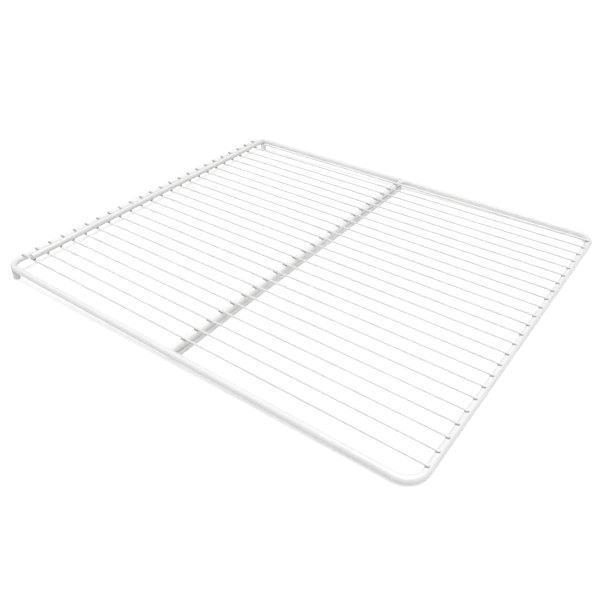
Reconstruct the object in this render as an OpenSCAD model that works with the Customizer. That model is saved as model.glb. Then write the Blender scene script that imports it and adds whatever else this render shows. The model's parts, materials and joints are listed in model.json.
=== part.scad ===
// Wire shelf for a refrigerator: a closed loop of bent rod, a twin bar across
// its middle, a stop bar on top at the back, and a deck of thin wires that run
// from back to front. It lies on two short pegs at the back and on the lower of the twin bars.
// All sizes are those of the coated steel. Millimetres, +Z up, the front faces -Y.
// The origin lies on the floor under the middle of the shelf's outline.

/* [Frame] */
// Outer width of the frame, side to side
shelf_w = 533; // [420:1:700]
// Outer depth of the frame, front to back
shelf_d = 610; // [420:1:760]
// Diameter of the frame's rod
rod_d = 8.8; // [7:0.1:12]
// Radius of the two front bends, to the middle of the rod
front_bend_r = 22; // [14:0.5:22.5]
// Radius of the two back bends, to the middle of the rod
back_bend_r = 18; // [8:0.5:20]

/* [Center bars] */
// Diameter of the bar that carries the wires
bar_d = 8.4; // [6:0.1:9]
// Diameter of the brace under that bar
brace_d = 8.4; // [6:0.1:9]
// How far the bar lies behind the middle between the back and front rods
bar_behind = 2.5; // [-60:0.5:60]
// Clear space between the brace's end and the side rod's inner face
brace_end_gap = 1; // [0.5:0.5:12]

/* [Rear stop bar] */
// Diameter of the stop bar on top of the wires
stop_d = 8.4; // [6:0.1:10]
// Distance from the middle of the back rod to the middle of the stop bar
stop_setback = 25.5; // [16:0.5:60]
// How far the stop bar reaches past the middle of each outer wire
stop_past = 1.4; // [0:0.1:6]

/* [Wires] */
// Number of deck wires
wire_count = 24; // [8:1:30]
// Diameter of a deck wire
wire_d = 2.8; // [2:0.1:4]
// Distance from the middle of a side rod to the middle of the outer wire
side_gap = 23.2; // [23:0.1:40]
// How far each wire reaches past the middle of the back and front rods
wire_past = 0.8; // [0:0.1:2.5]
// Bevel of the wire's cut ends
wire_bevel = 0.5; // [0.2:0.1:0.9]
// How deep the welds draw the wires into the rods and bars
weld_set = 0.4; // [0.3:0.05:0.6]

/* [Back pegs] */
// Diameter of a peg
peg_d = 8.8; // [6:0.1:10]
// Height of the frame's underside above the foot of a peg
peg_drop = 13; // [12:0.5:40]
// Rounding of a peg's foot
peg_end_r = 1.4; // [0.5:0.1:2.8]
// How far round its bend a peg stands, in degrees from the side rod
peg_turn = 25; // [0:1:90]
// How deep a peg's square top sinks into the rod
peg_sink = 0.8; // [0.4:0.1:1.2]
// Height of the weld round a peg's top
peg_weld_h = 2; // [1:0.1:3]
// How far that weld stands out at its top
peg_weld_out = 0.6; // [0.3:0.1:1]

/* [Hidden] */
$fn = 32;
wire_sides = 16;
rod_r = rod_d / 2;
bar_r = bar_d / 2;
brace_r = brace_d / 2;
stop_r = stop_d / 2;
wire_r = wire_d / 2;
peg_r = peg_d / 2;

// Middles of the rods, seen from above
side_x = shelf_w / 2 - rod_r;
end_y = shelf_d / 2 - rod_r;

// Heights of the middles, from the foot of the pegs up
rod_z = peg_drop + rod_r;
rod_top = rod_z + rod_r;
bar_z = rod_top - weld_set / 2 - bar_r;
brace_z = bar_z - bar_r - brace_r + weld_set;
wire_z = rod_top + wire_r - weld_set;
stop_z = wire_z + wire_r + stop_r - weld_set;

// Places along the depth
bar_y = bar_behind;
stop_y = end_y - stop_setback;
wire_end_y = end_y + wire_past;

// Row of wires
outer_wire_x = side_x - side_gap;
pitch = 2 * outer_wire_x / (wire_count - 1);
function wire_x(i) = (i - 1) * pitch - outer_wire_x;
function wire_name(i) = str("wire_", i < 10 ? "0" : "", i);

// A peg stands under a back bend, welded to the rod's underside
peg_x = side_x - back_bend_r * (1 - cos(peg_turn));
peg_y = end_y - back_bend_r * (1 - sin(peg_turn));
peg_top = peg_drop + peg_sink;

// Straight round rod along X, centred
module rod_x(length, r) {
    rotate([0, 90, 0]) cylinder(h = length, r = r, center = true);
}

// Straight round rod along Y, from the middle to both sides, so that each end lies exactly in place
module rod_y(front_length, back_length, r) {
    rotate([90, 0, 0]) cylinder(h = front_length, r = r);
    rotate([-90, 0, 0]) cylinder(h = back_length, r = r);
}

// Straight wire along Y, centred, with bevelled ends
module wire_rod(half_length) {
    rotate([90, 0, 0]) rotate_extrude($fn = wire_sides) polygon([
        [0, -half_length],
        [wire_r - wire_bevel, -half_length],
        [wire_r, wire_bevel - half_length],
        [wire_r, half_length - wire_bevel],
        [wire_r - wire_bevel, half_length],
        [0, half_length]
    ]);
}

// Quarter bend of the frame's rod about the vertical, from a starting angle
module bend(radius, from_angle) {
    rotate_extrude(angle = 90, start = from_angle) translate([radius, 0]) circle(r = rod_r);
}

// Round stud along +Z whose foot has a rounded edge
module round_foot_stud(r, length, edge_r) {
    rotate_extrude() difference() {
        square([r, length]);
        difference() {
            translate([r - edge_r, 0]) square(edge_r);
            translate([r - edge_r, edge_r]) circle(r = edge_r);
        }
    }
}

// The frame: one rod bent into a closed loop, wide bends in front, tight ones behind
module frame_solid() {
    front_x = side_x - front_bend_r;
    back_x = side_x - back_bend_r;
    front_y = end_y - front_bend_r;
    back_y = end_y - back_bend_r;
    translate([0, 0, rod_z]) {
        translate([0, -end_y, 0]) rod_x(2 * front_x, rod_r);
        translate([0, end_y, 0]) rod_x(2 * back_x, rod_r);
        for (side = [-1, 1]) translate([side * side_x, 0, 0]) rod_y(front_y, back_y, rod_r);
        translate([-front_x, -front_y, 0]) bend(front_bend_r, 180);
        translate([front_x, -front_y, 0]) bend(front_bend_r, 270);
        translate([back_x, back_y, 0]) bend(back_bend_r, 0);
        translate([-back_x, back_y, 0]) bend(back_bend_r, 90);
    }
}

module frame_loop() {
    color("whitesmoke") frame_solid();
}

// The bar that carries the wires, before its ends are coped round the side rods
module bar_solid() {
    translate([0, bar_y, bar_z]) rod_x(2 * side_x, bar_r);
}

module center_bar() {
    color("whitesmoke") difference() {
        bar_solid();
        frame_solid();
    }
}

// The brace lies straight under the bar and stops short of the side rods
module center_brace() {
    color("whitesmoke") difference() {
        translate([0, bar_y, brace_z]) rod_x(2 * (side_x - rod_r - brace_end_gap), brace_r);
        bar_solid();
    }
}

// The stop bar lies on top of the wires and ends at the outer ones
module stop_solid() {
    translate([0, stop_y, stop_z]) rod_x(2 * (outer_wire_x + stop_past), stop_r);
}

module rear_stop_bar() {
    color("whitesmoke") stop_solid();
}

// One deck wire, notched where the rods and bars bear on it
module wire(i) {
    color("whitesmoke") difference() {
        translate([wire_x(i), 0, wire_z]) wire_rod(wire_end_y);
        frame_solid();
        bar_solid();
        stop_solid();
    }
}

// A peg with the weld that spreads towards its top, cut to the rod that it is welded to
module rear_peg(side) {
    color("whitesmoke") difference() {
        translate([side * peg_x, peg_y, 0]) {
            round_foot_stud(peg_r, peg_top, peg_end_r);
            translate([0, 0, peg_top - peg_weld_h]) peg_weld();
        }
        frame_solid();
    }
}

// The weld round a peg's top
module peg_weld() {
    cylinder(h = peg_weld_h, r1 = peg_r, r2 = peg_r + peg_weld_out);
}

frame_loop();
center_bar();
center_brace();
rear_stop_bar();
rear_peg(-1);  // rear_peg_left
rear_peg(1);  // rear_peg_right
for (i = [1 : wire_count]) wire(i);
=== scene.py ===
"""Looks of a coated steel wire shelf for a refrigerator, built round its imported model.

Lengths are in metres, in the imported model's frame: +Z up through the deck, the front
edge towards -Y, the wires along Y and the bars along X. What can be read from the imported
nodes is read from them, so each piece sits where the CAD says.
"""

import json
import logging
import math
from dataclasses import dataclass, field
from enum import Enum
from typing import Callable, Iterable, Sequence

import bmesh
import bpy
from mathutils import Matrix, Vector


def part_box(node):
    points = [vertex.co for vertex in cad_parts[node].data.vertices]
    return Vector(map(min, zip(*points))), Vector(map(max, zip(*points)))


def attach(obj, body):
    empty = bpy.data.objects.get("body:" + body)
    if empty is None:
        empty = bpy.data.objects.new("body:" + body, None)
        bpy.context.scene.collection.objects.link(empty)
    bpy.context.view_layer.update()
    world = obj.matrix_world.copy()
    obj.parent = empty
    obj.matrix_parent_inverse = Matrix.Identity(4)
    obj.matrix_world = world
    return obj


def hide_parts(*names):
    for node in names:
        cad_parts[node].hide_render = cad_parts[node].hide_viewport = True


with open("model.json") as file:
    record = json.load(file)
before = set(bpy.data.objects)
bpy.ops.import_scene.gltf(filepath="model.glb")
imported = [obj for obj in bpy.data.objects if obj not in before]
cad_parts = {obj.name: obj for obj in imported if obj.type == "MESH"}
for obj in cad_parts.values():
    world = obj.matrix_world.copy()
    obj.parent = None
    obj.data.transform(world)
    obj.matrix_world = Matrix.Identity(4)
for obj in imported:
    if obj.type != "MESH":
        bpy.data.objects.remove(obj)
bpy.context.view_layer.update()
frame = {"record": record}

log = logging.getLogger("wire_shelf")

MM = 0.001
BODY = "root"

# Steps of the round shapes
ROD_SIDES = 40
BEND_STEPS = 14
EDGE_STEPS = 5
FOOT_STEPS = 6

# Share of a flat end's radius at which its inner ring of corners lies
END_RING = 0.6
# Rounding of a peg's foot
PEG_FOOT_EDGE = 1.4 * MM
# Corners nearer than this are joined
JOIN_DISTANCE = 1e-6


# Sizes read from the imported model


@dataclass(frozen=True)
class Bar:
    """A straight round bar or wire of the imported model.

    Attributes:
        middle: The middle of its axis.
        half: Half of its length.
        radius: Its radius.
    """

    middle: Vector
    half: float
    radius: float


def read_bar(node: str, along: int) -> Bar:
    """Reads a straight round bar from a node's box.

    Args:
        node: The node's name.
        along: The axis that the bar runs along, 0 for X, 1 for Y and 2 for Z.

    Returns:
        The bar. Its radius comes from the widest extent across it, which a notch
        or a coped end doesn't change.
    """
    low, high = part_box(node)
    across = [high[k] - low[k] for k in range(3) if k != along]
    return Bar((low + high) / 2, (high[along] - low[along]) / 2, max(across) / 2)


def mount_place(name: str) -> Vector:
    """Gives the place of one of the record's mounts.

    Args:
        name: The mount's name.

    Returns:
        Its place.
    """
    mounts = frame["record"]["mounts"]
    return Vector(next(mount["pos_m"] for mount in mounts if mount["name"] == name))


@dataclass(frozen=True)
class ShelfSizes:
    """Sizes and places of the shelf's parts.

    Attributes:
        frame_low: Lowest corner of the frame loop.
        frame_high: Highest corner of the frame loop.
        front_bend: Radius of the front bends, to the middle of the rod.
        back_bend: Radius of the back bends, to the middle of the rod.
        wire_count: Number of deck wires.
    """

    frame_low: Vector
    frame_high: Vector
    front_bend: float = 22.0 * MM
    back_bend: float = 18.0 * MM
    wire_count: int = 24

    @property
    def rod_r(self) -> float:
        """Radius of the frame's rod."""
        return (self.frame_high.z - self.frame_low.z) / 2

    @property
    def rod_z(self) -> float:
        """Height of the middle of the frame's rod."""
        return (self.frame_high.z + self.frame_low.z) / 2

    @property
    def side_x(self) -> float:
        """Distance from the middle of the shelf to the middle of a side rod."""
        return self.frame_high.x - self.rod_r

    @property
    def end_y(self) -> float:
        """Distance from the middle of the shelf to the middle of the front rod."""
        return self.frame_high.y - self.rod_r

    @property
    def wire_names(self) -> list[str]:
        """Names of the wires' nodes, from left to right."""
        return [f"wire_{i:02d}" for i in range(1, self.wire_count + 1)]


# Shapes that coating and weld run up to


class RoundShape:
    """A rod of round section. Its surface lies one radius from its axis."""

    radius: float

    def nearest(self, point: Vector) -> Vector:
        """Returns the point of the axis that is nearest to a point."""
        raise NotImplementedError

    def distance(self, point: Vector) -> float:
        """Returns how far a point is outside the surface."""
        return (point - self.nearest(point)).length - self.radius


@dataclass
class StraightRod(RoundShape):
    """A straight rod with domed ends.

    Attributes:
        start: One end of its axis.
        end: The other end of its axis.
        radius: Its radius.
    """

    start: Vector
    end: Vector
    radius: float

    def nearest(self, point: Vector) -> Vector:
        """Returns the point of the axis that is nearest to a point."""
        run = self.end - self.start
        share = (point - self.start).dot(run) / run.length_squared
        return self.start + run * min(1.0, max(0.0, share))


@dataclass
class LoopRod(RoundShape):
    """The frame's rod, bent into a closed loop.

    Attributes:
        sizes: The shelf's sizes.
        radius: The rod's radius.
    """

    sizes: ShelfSizes
    radius: float = 0.0

    def __post_init__(self) -> None:
        """Takes the rod's radius from the sizes."""
        self.radius = self.sizes.rod_r

    def nearest(self, point: Vector) -> Vector:
        """Returns the point of the axis that is nearest to a point."""
        s = self.sizes
        bend = s.back_bend if point.y > 0 else s.front_bend
        inner_x, inner_y = s.side_x - bend, s.end_y - bend
        sx, sy = math.copysign(1, point.x), math.copysign(1, point.y)
        x, y = abs(point.x), abs(point.y)
        if x > inner_x and y > inner_y:
            out = Vector((x - inner_x, y - inner_y)).normalized() * bend
            return Vector((sx * (inner_x + out.x), sy * (inner_y + out.y), s.rod_z))
        if s.side_x - x < s.end_y - y:
            return Vector((sx * s.side_x, point.y, s.rod_z))
        return Vector((point.x, sy * s.end_y, s.rod_z))


# Mesh helpers


def new_piece(name: str, mesh: bpy.types.Mesh) -> bpy.types.Object:
    """Puts a mesh in the scene as a piece of the shelf.

    Args:
        name: The piece's name.
        mesh: Its mesh, already in place.

    Returns:
        The new object, at the origin.
    """
    piece = bpy.data.objects.new(name, mesh)
    bpy.context.scene.collection.objects.link(piece)
    return piece


def mesh_from(name: str, points: Sequence[Vector], faces: Sequence[Sequence[int]]) -> bpy.types.Mesh:
    """Makes a smooth closed mesh whose faces point outwards.

    Args:
        name: The mesh's name.
        points: Its corners.
        faces: Its faces, as numbers of corners.

    Returns:
        The mesh.
    """
    mesh = bpy.data.meshes.new(name)
    mesh.from_pydata([tuple(p) for p in points], [], [tuple(f) for f in faces])
    tidy = bmesh.new()
    tidy.from_mesh(mesh)
    bmesh.ops.recalc_face_normals(tidy, faces=tidy.faces)
    tidy.to_mesh(mesh)
    tidy.free()
    mesh.shade_smooth()
    return mesh


def turned(name: str, profile: Sequence[tuple[float, float]], sides: int, place: Matrix) -> bpy.types.Mesh:
    """Turns a profile about an axis.

    Args:
        name: The mesh's name.
        profile: Pairs of distance along the axis and radius. The first and last
            radius are 0, and make the poles.
        sides: Number of sides round the axis.
        place: Matrix that takes the axis, which is Z, to its place.

    Returns:
        The mesh.
    """
    points = [Vector((0, 0, profile[0][0]))]
    for along, radius in profile[1:-1]:
        for k in range(sides):
            turn = math.tau * k / sides
            points.append(Vector((radius * math.cos(turn), radius * math.sin(turn), along)))
    points.append(Vector((0, 0, profile[-1][0])))
    rings = len(profile) - 2
    last = len(points) - 1
    faces: list[list[int]] = []
    for k in range(sides):
        after = (k + 1) % sides
        faces.append([0, 1 + after, 1 + k])
        for ring in range(rings - 1):
            low, high = 1 + ring * sides, 1 + (ring + 1) * sides
            faces.append([low + k, low + after, high + after, high + k])
        top = 1 + (rings - 1) * sides
        faces.append([top + k, top + after, last])
    return mesh_from(name, [place @ p for p in points], faces)


def rounded_rod_profile(half: float, radius: float, edge: float, steps: int) -> list[tuple[float, float]]:
    """Gives the profile of a rod with rounded ends.

    Args:
        half: Half of the rod's length.
        radius: The rod's radius.
        edge: Radius of the rounded edge, at most the rod's radius.
        steps: Number of steps round the edge.

    Returns:
        Pairs of distance along the axis and radius.
    """
    end = [(-half, 0.0)]
    if edge < radius:
        end.append((-half, (radius - edge) * END_RING))
    for k in range(0 if edge < radius else 1, steps + 1):
        turn = math.pi / 2 * k / steps
        end.append((-half + edge * (1 - math.cos(turn)), radius - edge + edge * math.sin(turn)))
    return end + [(-along, r) for along, r in reversed(end)]


AXIS_TURNS = {
    0: Matrix.Rotation(math.pi / 2, 4, "Y"),
    1: Matrix.Rotation(-math.pi / 2, 4, "X"),
    2: Matrix.Identity(4),
}


def rod_mesh(name: str, bar: Bar, along: int, edge: float, sides: int) -> bpy.types.Mesh:
    """Makes a straight rod with rounded ends.

    Args:
        name: The mesh's name.
        bar: Its place, length and radius.
        along: The axis that it runs along.
        edge: Radius of its rounded ends.
        sides: Number of sides round it.

    Returns:
        The mesh.
    """
    place = Matrix.Translation(bar.middle) @ AXIS_TURNS[along]
    return turned(name, rounded_rod_profile(bar.half, bar.radius, edge, EDGE_STEPS), sides, place)


# Beads of coating and weld

# Halvings that bring a root below rounding
ROOT_HALVINGS = 40
# Angle in radians below which two directions count as one
SAME_WAY = 1e-4


def root_between(low: float, high: float, value: Callable[[float], float]) -> float:
    """Finds where a rising value passes zero.

    Args:
        low: A place where the value is below zero.
        high: A place where it is above zero.
        value: The value as a function of place.

    Returns:
        The place, or the nearer end where the value doesn't pass zero.
    """
    if value(low) > 0:
        return low
    for _ in range(ROOT_HALVINGS):
        middle = (low + high) / 2
        if value(middle) < 0:
            low = middle
        else:
            high = middle
    return (low + high) / 2


@dataclass
class Bead:
    """A hollow-faced bead where two round shapes meet.

    It is the space that a ball leaves free when it rolls round the joint and touches
    both shapes.

    Attributes:
        one: The first shape.
        other: The second shape.
        ball: Radius of the ball.
        sink: How far the bead's rim lies under the two surfaces.
        rows: Number of steps across the bead.
        root_balls: How far inside the joint the bead closes, in radii of the ball.
        root_sinks: The same, added in depths of the rim.
    """

    one: RoundShape
    other: RoundShape
    ball: float
    sink: float = 0.03 * MM
    rows: int = 5
    root_balls: float = 0.35
    root_sinks: float = 3.0

    def section(self, centre: Vector) -> list[Vector]:
        """Gives the bead's section for one place of the ball.

        Args:
            centre: The ball's centre.

        Returns:
            Points across the bead's face, and one inside the joint that closes it.
        """
        first = (self.one.nearest(centre) - centre).normalized()
        last = (self.other.nearest(centre) - centre).normalized()
        angle = first.angle(last, 0.0)
        reach = self.ball + self.sink
        points = []
        for k in range(self.rows + 1):
            share = k / self.rows
            if angle < SAME_WAY:
                way = first
            else:
                blend = first * math.sin((1 - share) * angle) + last * math.sin(share * angle)
                way = blend / math.sin(angle)
            points.append(centre + way * reach)
        chord = (points[0] + points[-1]) / 2
        inward = (first + last).normalized()
        points.append(chord + inward * (self.ball * self.root_balls + self.sink * self.root_sinks))
        return points

    def ring(self, name: str, centres: Sequence[Vector]) -> bpy.types.Mesh:
        """Makes the bead from places of the ball that go round the joint.

        Args:
            name: The mesh's name.
            centres: The ball's centres, in order round the joint.

        Returns:
            The mesh.
        """
        sections = [self.section(c) for c in centres]
        size, count = len(sections[0]), len(sections)
        points = [p for s in sections for p in s]
        faces = []
        for i in range(count):
            here, there = i * size, (i + 1) % count * size
            for k in range(size):
                after = (k + 1) % size
                faces.append([here + k, here + after, there + after, there + k])
        return mesh_from(name, points, faces)


def rod_along_x(bar: Bar) -> StraightRod:
    """Gives the shape of a bar that runs along X."""
    reach = Vector((bar.half, 0, 0))
    return StraightRod(bar.middle - reach, bar.middle + reach, bar.radius)


def crossing_bead(
    name: str, rod: Bar, wire: StraightRod, below: bool, ball: float, steps: int = 20
) -> bpy.types.Mesh:
    """Makes the bead where a wire along Y crosses a rod along X.

    Args:
        name: The mesh's name.
        rod: The rod.
        wire: The wire, with the axis that its coating shows.
        below: True if the rod is below the wire.
        ball: Radius of the rolling ball.
        steps: Number of places of the ball.

    Returns:
        The mesh.
    """
    across = rod_along_x(rod)
    crossing = Vector((wire.start.x, rod.middle.y, rod.middle.z))
    side = 1 if below else -1
    reach = rod.radius + ball
    just_inside = 0.999  # stops short of where the ball would leave the rod
    least_slant = 0.05  # avoids a division by zero where the ball rolls along the rod
    farthest = reach * 2  # where the search ends

    def centre(turn: float, out: float) -> Vector:
        """Returns the centre of a ball that touches the rod."""
        y = out * math.sin(turn)
        height = math.sqrt(max(0.0, reach * reach - y * y))
        return crossing + Vector((out * math.cos(turn), y, side * height))

    centres = []
    for k in range(steps):
        turn = math.tau * (k + 0.5) / steps
        limit = reach * just_inside / max(abs(math.sin(turn)), least_slant)
        out = root_between(
            0.0, min(limit, farthest), lambda t: wire.distance(centre(turn, t)) - ball
        )
        centres.append(centre(turn, out))
    return Bead(wire, across, ball).ring(name, centres)


def butt_bead(name: str, bar: Bar, loop: LoopRod, side: int, ball: float, steps: int = 32) -> bpy.types.Mesh:
    """Makes the weld where a bar along X is butted to a side rod.

    Args:
        name: The mesh's name.
        bar: The bar.
        loop: The frame's rod.
        side: -1 for the left side rod, 1 for the right one.
        ball: Radius of the rolling ball.
        steps: Number of places of the ball.

    Returns:
        The mesh.
    """
    axis = StraightRod(
        Vector((-loop.sizes.side_x, bar.middle.y, bar.middle.z)),
        Vector((loop.sizes.side_x, bar.middle.y, bar.middle.z)),
        bar.radius,
    )
    centres = []
    for k in range(steps):
        turn = math.tau * k / steps
        y = bar.middle.y + (bar.radius + ball) * math.cos(turn)
        z = bar.middle.z + (bar.radius + ball) * math.sin(turn)
        rise = z - loop.sizes.rod_z
        run = math.sqrt(max(0.0, (loop.radius + ball) ** 2 - rise * rise))
        centres.append(Vector((side * (loop.sizes.side_x - run), y, z)))
    return Bead(axis, loop, ball).ring(name, centres)


def peg_bead(name: str, peg: Bar, loop: LoopRod, ball: float, steps: int = 32) -> bpy.types.Mesh:
    """Makes the weld where a peg stands under the frame's rod.

    Args:
        name: The mesh's name.
        peg: The peg.
        loop: The frame's rod.
        ball: Radius of the rolling ball.
        steps: Number of places of the ball.

    Returns:
        The mesh.
    """
    foot = Vector((peg.middle.x, peg.middle.y, 0))
    axis = StraightRod(foot, foot + Vector((0, 0, loop.sizes.rod_z)), peg.radius)
    clear_balls = 1.5  # this many of its own radii under the rod, the ball is clear of it
    centres = []
    for k in range(steps):
        turn = math.tau * k / steps
        out = Vector((math.cos(turn), math.sin(turn), 0)) * (peg.radius + ball)
        low = loop.sizes.rod_z - loop.radius - ball * clear_balls
        height = root_between(
            low, loop.sizes.rod_z, lambda z: ball - loop.distance(foot + out + Vector((0, 0, z)))
        )
        centres.append(foot + out + Vector((0, 0, height)))
    return Bead(axis, loop, ball).ring(name, centres)


# Geometry Nodes


class SocketKind(Enum):
    """Kinds of input that a tree takes."""

    LENGTH = "NodeSocketFloat"
    COUNT = "NodeSocketInt"
    COATING = "NodeSocketMaterial"


class ShapeTree:
    """A Geometry Nodes tree with named inputs.

    Attributes:
        tree: The node group.
        inputs: Socket identifiers of its inputs, by name.
    """

    def __init__(self, name: str) -> None:
        """Makes an empty tree.

        Args:
            name: The tree's name.
        """
        self.tree = bpy.data.node_groups.new(name, "GeometryNodeTree")
        self.inputs: dict[str, str] = {}
        side = self.tree.interface
        side.new_socket("Geometry", in_out="INPUT", socket_type="NodeSocketGeometry")
        side.new_socket("Geometry", in_out="OUTPUT", socket_type="NodeSocketGeometry")
        self.start = self.tree.nodes.new("NodeGroupInput")
        self.end = self.tree.nodes.new("NodeGroupOutput")

    def take(self, name: str, kind: SocketKind) -> bpy.types.NodeSocket:
        """Adds a named input.

        Args:
            name: The input's name.
            kind: What it takes.

        Returns:
            The socket that gives its value inside the tree.
        """
        made = self.tree.interface.new_socket(name, in_out="INPUT", socket_type=kind.value)
        self.inputs[name] = made.identifier
        return self.start.outputs[name]

    def add(self, kind: str, values: dict | None = None, **settings: object) -> bpy.types.Node:
        """Adds a node.

        Args:
            kind: The node's type.
            values: Input values or the sockets that feed them, by name or number.
            settings: Properties of the node.

        Returns:
            The node.
        """
        node = self.tree.nodes.new(kind)
        for key, value in settings.items():
            setattr(node, key, value)
        for key, value in (values or {}).items():
            if isinstance(value, bpy.types.NodeSocket):
                self.tree.links.new(value, node.inputs[key])
            else:
                node.inputs[key].default_value = value
        return node

    def close(self, shape: bpy.types.NodeSocket) -> None:
        """Ends the tree in Realize Instances, smooth shading and Set Material.

        Args:
            shape: The socket that gives the finished shape.
        """
        coating = self.take("Coating", SocketKind.COATING)
        real = self.add("GeometryNodeRealizeInstances", {"Geometry": shape})
        smooth = self.add("GeometryNodeSetShadeSmooth", {"Geometry": real.outputs[0]})
        dressed = self.add(
            "GeometryNodeSetMaterial", {"Geometry": smooth.outputs[0], "Material": coating}
        )
        self.tree.links.new(dressed.outputs[0], self.end.inputs[0])

    def grow(
        self, name: str, values: dict[str, object], base: bpy.types.Mesh | None = None
    ) -> bpy.types.Object:
        """Runs the tree and keeps its result as a plain piece.

        Args:
            name: The piece's name.
            values: Values of the tree's inputs, by name.
            base: The mesh that the tree starts from, if it needs one.

        Returns:
            The piece, without the modifier.
        """
        host = new_piece(name + ".host", base or bpy.data.meshes.new(name + ".base"))
        grower = host.modifiers.new("shape", "NODES")
        grower.node_group = self.tree
        for key, value in values.items():
            grower[self.inputs[key]] = value
        shown = host.evaluated_get(bpy.context.evaluated_depsgraph_get())
        mesh = bpy.data.meshes.new_from_object(shown)
        bpy.data.objects.remove(host)
        mesh.name = name
        tidy = bmesh.new()
        tidy.from_mesh(mesh)
        bmesh.ops.remove_doubles(tidy, verts=tidy.verts, dist=JOIN_DISTANCE)
        bmesh.ops.recalc_face_normals(tidy, faces=tidy.faces)
        tidy.to_mesh(mesh)
        tidy.free()
        return new_piece(name, mesh)


def loop_tree() -> ShapeTree:
    """Makes the tree that bends a round rod into the frame's closed loop.

    Returns:
        The tree. Its inputs are Width, Depth, Height, Front bend, Back bend and Rod.
    """
    t = ShapeTree("frame_loop_bender")
    width = t.take("Width", SocketKind.LENGTH)
    depth = t.take("Depth", SocketKind.LENGTH)
    height = t.take("Height", SocketKind.LENGTH)
    front = t.take("Front bend", SocketKind.LENGTH)
    back = t.take("Back bend", SocketKind.LENGTH)
    rod = t.take("Rod", SocketKind.LENGTH)
    outline = t.add(
        "GeometryNodeCurvePrimitiveQuadrilateral", {"Width": width, "Height": depth}, mode="RECTANGLE"
    )
    place = t.add("GeometryNodeInputPosition")
    parts = t.add("ShaderNodeSeparateXYZ", {0: place.outputs[0]})
    behind = t.add(
        "FunctionNodeCompare", {0: parts.outputs["Y"], 1: 0.0}, data_type="FLOAT", operation="GREATER_THAN"
    )
    radius = t.add(
        "GeometryNodeSwitch", {"Switch": behind.outputs[0], "False": front, "True": back}, input_type="FLOAT"
    )
    bent = t.add(
        "GeometryNodeFilletCurve",
        {"Curve": outline.outputs[0], "Count": BEND_STEPS, "Radius": radius.outputs[0]},
        mode="POLY",
    )
    ring = t.add(
        "GeometryNodeCurvePrimitiveCircle", {"Resolution": ROD_SIDES, "Radius": rod}, mode="RADIUS"
    )
    swept = t.add(
        "GeometryNodeCurveToMesh", {"Curve": bent.outputs[0], "Profile Curve": ring.outputs[0]}
    )
    lift = t.add("ShaderNodeCombineXYZ", {"Z": height})
    placed = t.add(
        "GeometryNodeTransform", {"Geometry": swept.outputs[0], "Translation": lift.outputs[0]}
    )
    t.close(placed.outputs[0])
    return t


def row_tree() -> ShapeTree:
    """Makes the tree that repeats a shape in a row along X.

    Returns:
        The tree. Its inputs are Count and Spacing; the first copy stays in place.
    """
    t = ShapeTree("wire_row")
    count = t.take("Count", SocketKind.COUNT)
    spacing = t.take("Spacing", SocketKind.LENGTH)
    step = t.add("ShaderNodeCombineXYZ", {"X": spacing})
    line = t.add(
        "GeometryNodeMeshLine", {"Count": count, "Offset": step.outputs[0]}, mode="OFFSET"
    )
    copies = t.add(
        "GeometryNodeInstanceOnPoints",
        {"Points": line.outputs[0], "Instance": t.start.outputs["Geometry"]},
    )
    t.close(copies.outputs[0])
    return t


# Finishes

# Size of the soft clouds in tone and gloss, and the layers of both noises
CLOUD_SIZE = 35 * MM
CLOUD_DETAIL = 3.0
GRAIN_DETAIL = 2.0
# Part of a noise's range that is spread out to the whole
NOISE_LOW, NOISE_HIGH = 0.35, 0.65
# The coating's clear skin
COATING_IOR = 1.5
SKIN_WEIGHT = 0.25
SKIN_ROUGHNESS = 0.08


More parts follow.
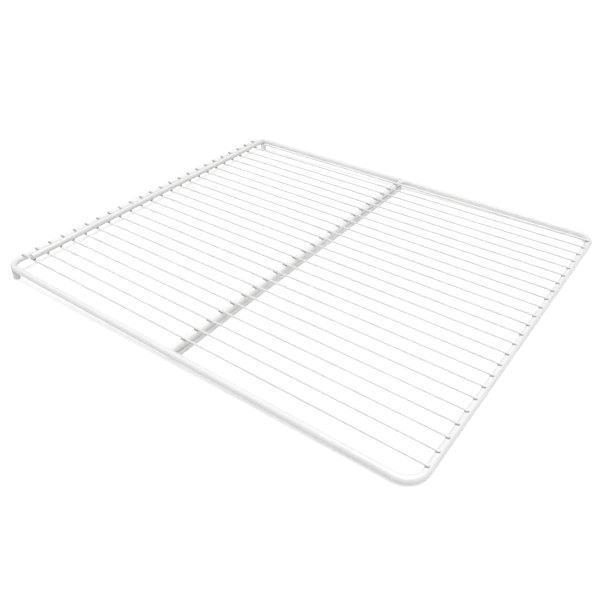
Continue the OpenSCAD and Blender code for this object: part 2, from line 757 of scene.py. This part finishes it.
@dataclass(frozen=True)
class CoatingFinish:
    """A baked white coating on steel.

    Attributes:
        name: The material's name.
        light: The lighter of its two tones.
        dark: The darker of its two tones, which soft clouds blend in at random.
        rough_low: Roughness where it is smoothest.
        rough_high: Roughness where it is dullest.
        grain: Size of the fine grain in the surface.
        bump: Height of that grain.
    """

    name: str
    light: tuple[float, float, float]
    dark: tuple[float, float, float]
    rough_low: float
    rough_high: float
    grain: float
    bump: float

    def build(self) -> bpy.types.Material:
        """Makes the material.

        Returns:
            A material that reads Object coordinates.
        """
        material = bpy.data.materials.new(self.name)
        material.use_nodes = True
        tree = material.node_tree
        tree.nodes.clear()
        out = tree.nodes.new("ShaderNodeOutputMaterial")
        shader = tree.nodes.new("ShaderNodeBsdfPrincipled")
        place = tree.nodes.new("ShaderNodeTexCoord")
        clouds = self.noise(tree, place, 1 / CLOUD_SIZE, CLOUD_DETAIL)
        grain = self.noise(tree, place, 1 / self.grain, GRAIN_DETAIL)
        tone = tree.nodes.new("ShaderNodeMix")
        tone.data_type = "RGBA"
        tone.inputs["A"].default_value = (*self.dark, 1)
        tone.inputs["B"].default_value = (*self.light, 1)
        spread = self.spread(tree, clouds, 0.0, 1.0)
        tree.links.new(spread.outputs["Result"], tone.inputs["Factor"])
        tree.links.new(tone.outputs["Result"], shader.inputs["Base Color"])
        dull = self.spread(tree, clouds, self.rough_low, self.rough_high)
        tree.links.new(dull.outputs["Result"], shader.inputs["Roughness"])
        bump = tree.nodes.new("ShaderNodeBump")
        bump.inputs["Strength"].default_value = 1.0
        bump.inputs["Distance"].default_value = self.bump
        tree.links.new(grain.outputs["Fac"], bump.inputs["Height"])
        tree.links.new(bump.outputs["Normal"], shader.inputs["Normal"])
        shader.inputs["IOR"].default_value = COATING_IOR
        shader.inputs["Coat Weight"].default_value = SKIN_WEIGHT
        shader.inputs["Coat Roughness"].default_value = SKIN_ROUGHNESS
        tree.links.new(shader.outputs["BSDF"], out.inputs["Surface"])
        return material

    @staticmethod
    def noise(tree: bpy.types.NodeTree, place: bpy.types.Node, scale: float, detail: float) -> bpy.types.Node:
        """Adds a noise on Object coordinates.

        Args:
            tree: The material's tree.
            place: The Texture Coordinate node.
            scale: Waves in a metre.
            detail: Layers of finer noise.

        Returns:
            The noise node.
        """
        node = tree.nodes.new("ShaderNodeTexNoise")
        node.inputs["Scale"].default_value = scale
        node.inputs["Detail"].default_value = detail
        tree.links.new(place.outputs["Object"], node.inputs["Vector"])
        return node

    @staticmethod
    def spread(tree: bpy.types.NodeTree, noise: bpy.types.Node, low: float, high: float) -> bpy.types.Node:
        """Spreads a noise over a range.

        Args:
            tree: The material's tree.
            noise: The noise node.
            low: Value at the noise's low side.
            high: Value at its high side.

        Returns:
            The Map Range node.
        """
        node = tree.nodes.new("ShaderNodeMapRange")
        node.inputs["From Min"].default_value = NOISE_LOW
        node.inputs["From Max"].default_value = NOISE_HIGH
        node.inputs["To Min"].default_value = low
        node.inputs["To Max"].default_value = high
        tree.links.new(noise.outputs["Fac"], node.inputs["Value"])
        return node


class Finish(Enum):
    """Finishes of the shelf."""

    ROD = CoatingFinish(
        "white_coating_rods", (0.90, 0.90, 0.895), (0.88, 0.88, 0.875), 0.22, 0.29, 1.6 * MM, 0.010 * MM
    )
    WIRE = CoatingFinish(
        "white_coating_wires", (0.90, 0.90, 0.895), (0.87, 0.87, 0.865), 0.24, 0.32, 1.1 * MM, 0.008 * MM
    )
    WELD = CoatingFinish(
        "white_coating_welds", (0.88, 0.88, 0.87), (0.83, 0.83, 0.82), 0.18, 0.30, 2.4 * MM, 0.03 * MM
    )
    # Dark grey for the beads where the wires cross the rods: painted shade in the creases of the crossings,
    # not a colour of the coating
    PAINTED_SHADE = CoatingFinish(
        "painted_shade_crossing_welds", (0.54, 0.54, 0.535), (0.42, 0.42, 0.415), 0.22, 0.36, 1.2 * MM, 0.02 * MM
    )


class Paintbox:
    """Builds each finish once."""

    def __init__(self) -> None:
        """Starts with nothing built."""
        self.built: dict[Finish, bpy.types.Material] = {}

    def get(self, finish: Finish) -> bpy.types.Material:
        """Returns the material of a finish."""
        if finish not in self.built:
            self.built[finish] = finish.value.build()
        return self.built[finish]


# Sub-assemblies


@dataclass
class SubAssembly:
    """A group of pieces of the shelf.

    Attributes:
        sizes: The shelf's sizes.
        paint: The finishes.
    """

    sizes: ShelfSizes
    paint: Paintbox

    def build(self) -> Iterable[bpy.types.Object]:
        """Makes the pieces."""
        raise NotImplementedError

    def finish_piece(self, piece: bpy.types.Object, finish: Finish, nodes: Sequence[str]) -> bpy.types.Object:
        """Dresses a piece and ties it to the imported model.

        Args:
            piece: The piece.
            finish: Its finish.
            nodes: The nodes that it stands for.

        Returns:
            The piece.
        """
        piece.data.materials.clear()
        piece.data.materials.append(self.paint.get(finish))
        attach(piece, BODY)
        if nodes:
            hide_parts(*nodes)
        log.info("%s: %d faces", piece.name, len(piece.data.polygons))
        return piece


@dataclass
class FrameLoop(SubAssembly):
    """The closed loop of bent rod."""

    def build(self) -> Iterable[bpy.types.Object]:
        """Bends the rod."""
        s = self.sizes
        loop = loop_tree().grow(
            "frame_rod",
            {
                "Width": 2 * s.side_x,
                "Depth": 2 * s.end_y,
                "Height": s.rod_z,
                "Front bend": s.front_bend,
                "Back bend": s.back_bend,
                "Rod": s.rod_r,
                "Coating": self.paint.get(Finish.ROD),
            },
        )
        yield self.finish_piece(loop, Finish.ROD, ["frame_loop"])


@dataclass
class CenterBars(SubAssembly):
    """The bar under the middle of the deck and the brace below it.

    Attributes:
        weld_ball: Size of the welds at the bar's ends.
        groove_ball: Size of the coating that fills the groove between the two.
        end_edge: Rounding of the brace's ends.
    """

    weld_ball: float = 2.6 * MM
    groove_ball: float = 4.0 * MM
    end_edge: float = 0.8 * MM

    def build(self) -> Iterable[bpy.types.Object]:
        """Makes the bar, the brace, the groove's coating and the end welds."""
        s = self.sizes
        bar = read_bar("center_bar", 0)
        brace = self.brace_bar()
        inside = Bar(bar.middle, s.side_x, bar.radius)
        mesh = rod_mesh("center_bar_rod", inside, 0, self.end_edge, ROD_SIDES)
        piece = new_piece("center_bar_rod", mesh)
        yield self.finish_piece(piece, Finish.ROD, ["center_bar"])
        mesh = rod_mesh("center_brace_rod", brace, 0, self.end_edge, ROD_SIDES)
        piece = new_piece("center_brace_rod", mesh)
        yield self.finish_piece(piece, Finish.ROD, ["center_brace"])
        loop = LoopRod(s)
        for side, word in ((-1, "left"), (1, "right")):
            name = f"center_bar_weld_{word}"
            weld = new_piece(name, butt_bead(name, bar, loop, side, self.weld_ball))
            yield self.finish_piece(weld, Finish.WELD, [])
        for side, word in ((-1, "front"), (1, "back")):
            name = f"center_groove_coating_{word}"
            strip = new_piece(name, self.groove(name, bar, brace, side))
            yield self.finish_piece(strip, Finish.WELD, [])

    def brace_bar(self) -> Bar:
        """Reads the brace, whose top is notched to the bar above it."""
        low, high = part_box("center_brace")
        radius = (high.y - low.y) / 2
        middle = Vector(((low.x + high.x) / 2, (low.y + high.y) / 2, low.z + radius))
        return Bar(middle, (high.x - low.x) / 2, radius)

    def groove(self, name: str, bar: Bar, brace: Bar, side: int) -> bpy.types.Mesh:
        """Makes the coating that fills the groove between bar and brace.

        Args:
            name: The mesh's name.
            bar: The bar.
            brace: The brace.
            side: -1 for the front, 1 for the back.

        Returns:
            The mesh.
        """
        half = brace.half - 2 * self.end_edge
        height = (bar.middle.z + brace.middle.z) / 2
        rise = (bar.middle.z - brace.middle.z) / 2
        out = math.sqrt((bar.radius + self.groove_ball) ** 2 - rise * rise)
        bead = Bead(rod_along_x(bar), rod_along_x(brace), self.groove_ball)
        ends = [Vector((x, bar.middle.y + side * out, height)) for x in (-half, half)]
        sections = [bead.section(c) for c in ends]
        size = len(sections[0])
        faces: list[list[int]] = [list(range(size)), list(range(size, 2 * size))]
        for k in range(size):
            after = (k + 1) % size
            faces.append([k, after, size + after, size + k])
        return mesh_from(name, sections[0] + sections[1], faces)


@dataclass
class StopBar(SubAssembly):
    """The bar on top of the wires at the back.

    Attributes:
        end_edge: Rounding of its ends.
    """

    end_edge: float = 0.7 * MM

    def build(self) -> Iterable[bpy.types.Object]:
        """Makes the bar."""
        bar = read_bar("rear_stop_bar", 0)
        mesh = rod_mesh("rear_stop_rod", bar, 0, self.end_edge, ROD_SIDES)
        piece = new_piece("rear_stop_rod", mesh)
        yield self.finish_piece(piece, Finish.ROD, ["rear_stop_bar"])


@dataclass
class Deck(SubAssembly):
    """The row of thin wires, with the coating that pools where they cross the rods.

    Attributes:
        pool_ball: Size of the pooled coating.
        wire_sides: Number of sides round a wire.
    """

    pool_ball: float = 0.8 * MM
    wire_sides: int = 20

    def build(self) -> Iterable[bpy.types.Object]:
        """Makes the wires and the beads of coating, which are dressed in a dark grey that paints the shade in
        the creases of the crossings.
        """
        s = self.sizes
        names = s.wire_names
        row = row_tree()
        first, second = self.wire(names[0]), self.wire(names[1])
        repeat = {"Count": s.wire_count, "Spacing": second.middle.x - first.middle.x}
        shape = rod_mesh("deck_wire", first, 1, first.radius, self.wire_sides)
        wires = row.grow(
            "deck_wires", repeat | {"Coating": self.paint.get(Finish.WIRE)}, shape
        )
        yield self.finish_piece(wires, Finish.WIRE, names)
        dome = Vector((0, first.half - first.radius, 0))
        axis = StraightRod(first.middle - dome, first.middle + dome, first.radius)
        for name, rod, below in self.crossings():
            bead = crossing_bead(name, rod, axis, below, self.pool_ball)
            # The beads take the dark grey finish that paints the shade in the creases of the crossings
            piece = row.grow(name, repeat | {"Coating": self.paint.get(Finish.PAINTED_SHADE)}, bead)
            yield self.finish_piece(piece, Finish.PAINTED_SHADE, [])

    def wire(self, node: str) -> Bar:
        """Reads a wire, whose underside and top are notched where rods bear on it."""
        low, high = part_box(node)
        radius = (high.x - low.x) / 2
        middle = Vector(((low.x + high.x) / 2, (low.y + high.y) / 2, high.z - radius))
        return Bar(middle, (high.y - low.y) / 2, radius)

    def crossings(self) -> list[tuple[str, Bar, bool]]:
        """Lists what the wires cross.

        Returns:
            For each rod the name of its beads, the rod, and whether it is below.
        """
        s = self.sizes
        back = Bar(Vector((0, s.end_y, s.rod_z)), s.side_x - s.back_bend, s.rod_r)
        front = Bar(Vector((0, -s.end_y, s.rod_z)), s.side_x - s.front_bend, s.rod_r)
        return [
            ("back_rod_welds", back, True),
            ("stop_bar_welds", read_bar("rear_stop_bar", 0), False),
            ("center_bar_wire_welds", read_bar("center_bar", 0), True),
            ("front_rod_welds", front, True),
        ]


@dataclass
class BackPegs(SubAssembly):
    """The two pegs under the back corners.

    Attributes:
        weld_ball: Size of the weld at a peg's top.
        top_share: How far under the rod's middle a peg's hidden top lies, in radii of the rod.
    """

    weld_ball: float = 1.6 * MM
    top_share: float = 0.5

    def build(self) -> Iterable[bpy.types.Object]:
        """Makes each peg and its weld."""
        s = self.sizes
        loop = LoopRod(s)
        for word in ("left", "right"):
            node = f"rear_peg_{word}"
            peg = self.peg(node)
            top = s.rod_z - s.rod_r * self.top_share
            foot = Matrix.Translation(Vector((peg.middle.x, peg.middle.y, 0)))
            name = f"rear_peg_post_{word}"
            post = turned(name, self.profile(top, peg.radius), ROD_SIDES, foot)
            piece = new_piece(name, post)
            yield self.finish_piece(piece, Finish.ROD, [node])
            name = f"rear_peg_weld_{word}"
            weld = new_piece(name, peg_bead(name, peg, loop, self.weld_ball))
            yield self.finish_piece(weld, Finish.WELD, [])

    def peg(self, node: str) -> Bar:
        """Reads a peg, which stands where the record mounts it, and is of the frame's rod."""
        low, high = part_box(node)
        place = mount_place(node)
        middle = Vector((place.x, place.y, (low.z + high.z) / 2))
        return Bar(middle, (high.z - low.z) / 2, self.sizes.rod_r)

    def profile(self, top: float, radius: float) -> list[tuple[float, float]]:
        """Gives the outline of a peg with a rounded foot.

        Args:
            top: Height of its hidden top.
            radius: Its radius.

        Returns:
            Pairs of height and radius.
        """
        edge = PEG_FOOT_EDGE
        points = [(0.0, 0.0), (0.0, (radius - edge) * END_RING)]
        for k in range(FOOT_STEPS + 1):
            turn = math.pi / 2 * k / FOOT_STEPS
            points.append((edge * (1 - math.cos(turn)), radius - edge + edge * math.sin(turn)))
        return points + [(top, radius), (top, 0.0)]


# Studio


@dataclass(frozen=True)
class Lamp:
    """A broad soft light that shines the same way everywhere.

    Attributes:
        name: Its name.
        way: The way that its light goes.
        strength: Its strength.
        breadth: How broad it looks from the shelf, in degrees.
    """

    name: str
    way: tuple[float, float, float]
    strength: float
    breadth: float

    def hang(self) -> None:
        """Hangs the light."""
        lamp = bpy.data.lights.new(self.name, "SUN")
        lamp.energy = self.strength
        lamp.angle = math.radians(self.breadth)
        light = bpy.data.objects.new(self.name, lamp)
        light.rotation_mode = "QUATERNION"
        light.rotation_quaternion = Vector(self.way).to_track_quat("-Z", "Y")
        bpy.context.scene.collection.objects.link(light)


@dataclass
class Studio:
    """Floor, lights and camera.

    Attributes:
        sizes: The shelf's sizes.
        camera_place: The place of the camera.
        camera_heading: The way that it looks, in degrees from +X towards +Y.
        camera_pitch: How far it looks up, in degrees.
        camera_roll: How far it is rolled, in degrees.
        focal_pixels: Its focal length in pixels of the photograph.
        image_side: Side of the photograph in pixels.
        sensor_side: Side of its sensor in millimetres.
        lamps: The lights.
        sky_high: Strength of the surroundings overhead.
        sky_low: Their strength low down and below.
        sky_from: Rise at which they begin to grow from low to high, 1 straight up.
        sky_to: Rise at which they are at their highest.
        floor_bounce: How much of the light the floor throws back on the shelf.
        floor_shown: How strongly the floor shows light and shadow to the camera.
        floor_lift: Glow that brings it to white for the camera alone.
        floor_half: Half of the floor's side.
        slope_rounds: Rounds in which the table's slope is found.
    """

    sizes: ShelfSizes
    camera_place: Vector = field(
        default_factory=lambda: Vector((-0.605037, -0.428171, 0.478006))
    )
    camera_heading: float = 36.289084
    camera_pitch: float = -36.263126
    camera_roll: float = -0.155820
    focal_pixels: float = 639.809
    image_side: int = 600
    sensor_side: float = 36.0
    lamps: tuple[Lamp, ...] = (
        Lamp("key_light", (0.03, 0.07, -1.0), 1.88, 45.0),
        Lamp("side_light", (0.5, 0.1, -1.0), 0.25, 24.0),
    )
    sky_high: float = 0.64
    sky_low: float = 0.03
    sky_from: float = 0.2
    sky_to: float = 0.95
    floor_bounce: float = 0.88
    floor_shown: float = 0.75
    floor_lift: float = 0.42
    floor_half: float = 6.0
    slope_rounds: int = 20

    def build(self) -> None:
        """Sets up everything that isn't part of the shelf."""
        self.colours()
        self.floor()
        self.world()
        self.lights()
        self.camera()

    def colours(self) -> None:
        """Keeps colours as they are written."""
        bpy.context.scene.view_settings.view_transform = "Standard"

    def table_slope(self) -> tuple[float, float]:
        """Finds the table under the shelf, which lies on its pegs and the center brace.

        Returns:
            The angle that the table rises by towards the front, and the place along
            Y where it passes through height 0.
        """
        brace = read_bar("center_brace", 0)
        edge_y = mount_place("rear_peg_left").y - self.sizes.rod_r + PEG_FOOT_EDGE
        run = edge_y - brace.middle.y
        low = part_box("center_brace")[0].z
        height = low + brace.radius
        angle = 0.0
        for _ in range(self.slope_rounds):
            angle = math.asin((height * math.cos(angle) - brace.radius) / run)
        return angle, edge_y

    def floor(self) -> None:
        """Makes the pale floor. It shows white, and keeps the shelf's shadow."""
        angle, edge_y = self.table_slope()
        half = self.floor_half
        place = Matrix.Translation(Vector((0, edge_y, 0))) @ Matrix.Rotation(-angle, 4, "X")
        signs = ((-1, -1), (1, -1), (1, 1), (-1, 1))
        corners = [place @ Vector((x * half, y * half, 0)) for x, y in signs]
        mesh = bpy.data.meshes.new("studio_floor")
        mesh.from_pydata([tuple(c) for c in corners], [], [(0, 1, 2, 3)])
        floor = new_piece("studio_floor", mesh)
        floor.data.materials.append(self.floor_material())

    def floor_material(self) -> bpy.types.Material:
        """Makes the floor's material: white to the camera, and clear when it is seen from below."""
        material = bpy.data.materials.new("studio_floor")
        material.use_nodes = True
        tree = material.node_tree
        tree.nodes.clear()
        out = tree.nodes.new("ShaderNodeOutputMaterial")
        mix = tree.nodes.new("ShaderNodeMixShader")
        seen = tree.nodes.new("ShaderNodeMath")
        seen.operation = "MAXIMUM"
        rays = tree.nodes.new("ShaderNodeLightPath")
        tree.links.new(rays.outputs["Is Camera Ray"], seen.inputs[0])
        tree.links.new(rays.outputs["Is Transmission Ray"], seen.inputs[1])
        plain = tree.nodes.new("ShaderNodeBsdfDiffuse")
        plain.inputs["Color"].default_value = (self.floor_bounce,) * 3 + (1,)
        shown = tree.nodes.new("ShaderNodeBsdfDiffuse")
        shown.inputs["Color"].default_value = (self.floor_shown,) * 3 + (1,)
        lift = tree.nodes.new("ShaderNodeEmission")
        lift.inputs["Strength"].default_value = self.floor_lift
        both = tree.nodes.new("ShaderNodeAddShader")
        tree.links.new(shown.outputs[0], both.inputs[0])
        tree.links.new(lift.outputs[0], both.inputs[1])
        tree.links.new(seen.outputs[0], mix.inputs[0])
        tree.links.new(plain.outputs[0], mix.inputs[1])
        tree.links.new(both.outputs[0], mix.inputs[2])
        under = tree.nodes.new("ShaderNodeNewGeometry")
        hidden = tree.nodes.new("ShaderNodeMath")
        hidden.operation = "MULTIPLY"
        tree.links.new(under.outputs["Backfacing"], hidden.inputs[0])
        tree.links.new(rays.outputs["Is Camera Ray"], hidden.inputs[1])
        clear = tree.nodes.new("ShaderNodeBsdfTransparent")
        sided = tree.nodes.new("ShaderNodeMixShader")
        tree.links.new(hidden.outputs[0], sided.inputs[0])
        tree.links.new(mix.outputs[0], sided.inputs[1])
        tree.links.new(clear.outputs[0], sided.inputs[2])
        tree.links.new(sided.outputs[0], out.inputs["Surface"])
        return material

    def world(self) -> None:
        """Makes the surroundings: white to the camera, softer as light."""
        world = bpy.data.worlds.new("studio_surroundings")
        bpy.context.scene.world = world
        world.use_nodes = True
        tree = world.node_tree
        tree.nodes.clear()
        out = tree.nodes.new("ShaderNodeOutputWorld")
        rays = tree.nodes.new("ShaderNodeLightPath")
        mix = tree.nodes.new("ShaderNodeMixShader")
        light = tree.nodes.new("ShaderNodeBackground")
        way = tree.nodes.new("ShaderNodeTexCoord")
        parts = tree.nodes.new("ShaderNodeSeparateXYZ")
        fall = tree.nodes.new("ShaderNodeMapRange")
        fall.interpolation_type = "SMOOTHSTEP"
        fall.inputs["From Min"].default_value = self.sky_from
        fall.inputs["From Max"].default_value = self.sky_to
        fall.inputs["To Min"].default_value = self.sky_low
        fall.inputs["To Max"].default_value = self.sky_high
        tree.links.new(way.outputs["Generated"], parts.inputs[0])
        tree.links.new(parts.outputs["Z"], fall.inputs["Value"])
        tree.links.new(fall.outputs["Result"], light.inputs["Strength"])
        shown = tree.nodes.new("ShaderNodeBackground")
        shown.inputs["Strength"].default_value = 1.0
        for node in (light, shown):
            node.inputs["Color"].default_value = (1, 1, 1, 1)
        tree.links.new(rays.outputs["Is Camera Ray"], mix.inputs[0])
        tree.links.new(light.outputs[0], mix.inputs[1])
        tree.links.new(shown.outputs[0], mix.inputs[2])
        tree.links.new(mix.outputs[0], out.inputs["Surface"])

    def lights(self) -> None:
        """Hangs the broad soft lights."""
        for lamp in self.lamps:
            lamp.hang()

    def camera(self) -> None:
        """Makes the camera at the photograph's viewing angle."""
        heading = math.radians(self.camera_heading)
        pitch = math.radians(self.camera_pitch)
        roll = math.radians(self.camera_roll)
        ahead = Vector(
            (math.cos(pitch) * math.cos(heading), math.cos(pitch) * math.sin(heading), math.sin(pitch))
        )
        level = ahead.cross(Vector((0, 0, 1))).normalized()
        above = level.cross(ahead)
        right = level * math.cos(roll) + above * math.sin(roll)
        up = above * math.cos(roll) - level * math.sin(roll)
        data = bpy.data.cameras.new("photo_camera")
        data.sensor_width = self.sensor_side
        data.sensor_height = self.sensor_side
        data.lens = self.focal_pixels / self.image_side * data.sensor_width
        camera = bpy.data.objects.new("photo_camera", data)
        turn = Matrix((right, up, -ahead)).transposed().to_4x4()
        camera.matrix_world = Matrix.Translation(self.camera_place) @ turn
        bpy.context.scene.collection.objects.link(camera)
        bpy.context.scene.camera = camera


def main() -> None:
    """Builds the shelf piece by piece, then the studio."""
    logging.basicConfig(level=logging.INFO, format="%(name)s %(message)s")
    low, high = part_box("frame_loop")
    sizes = ShelfSizes(low, high)
    paint = Paintbox()
    for group in (FrameLoop, CenterBars, StopBar, Deck, BackPegs):
        pieces = list(group(sizes, paint).build())
        log.info("%s: %d pieces", group.__name__, len(pieces))
    Studio(sizes).build()


if __name__ == "__main__":
    main()
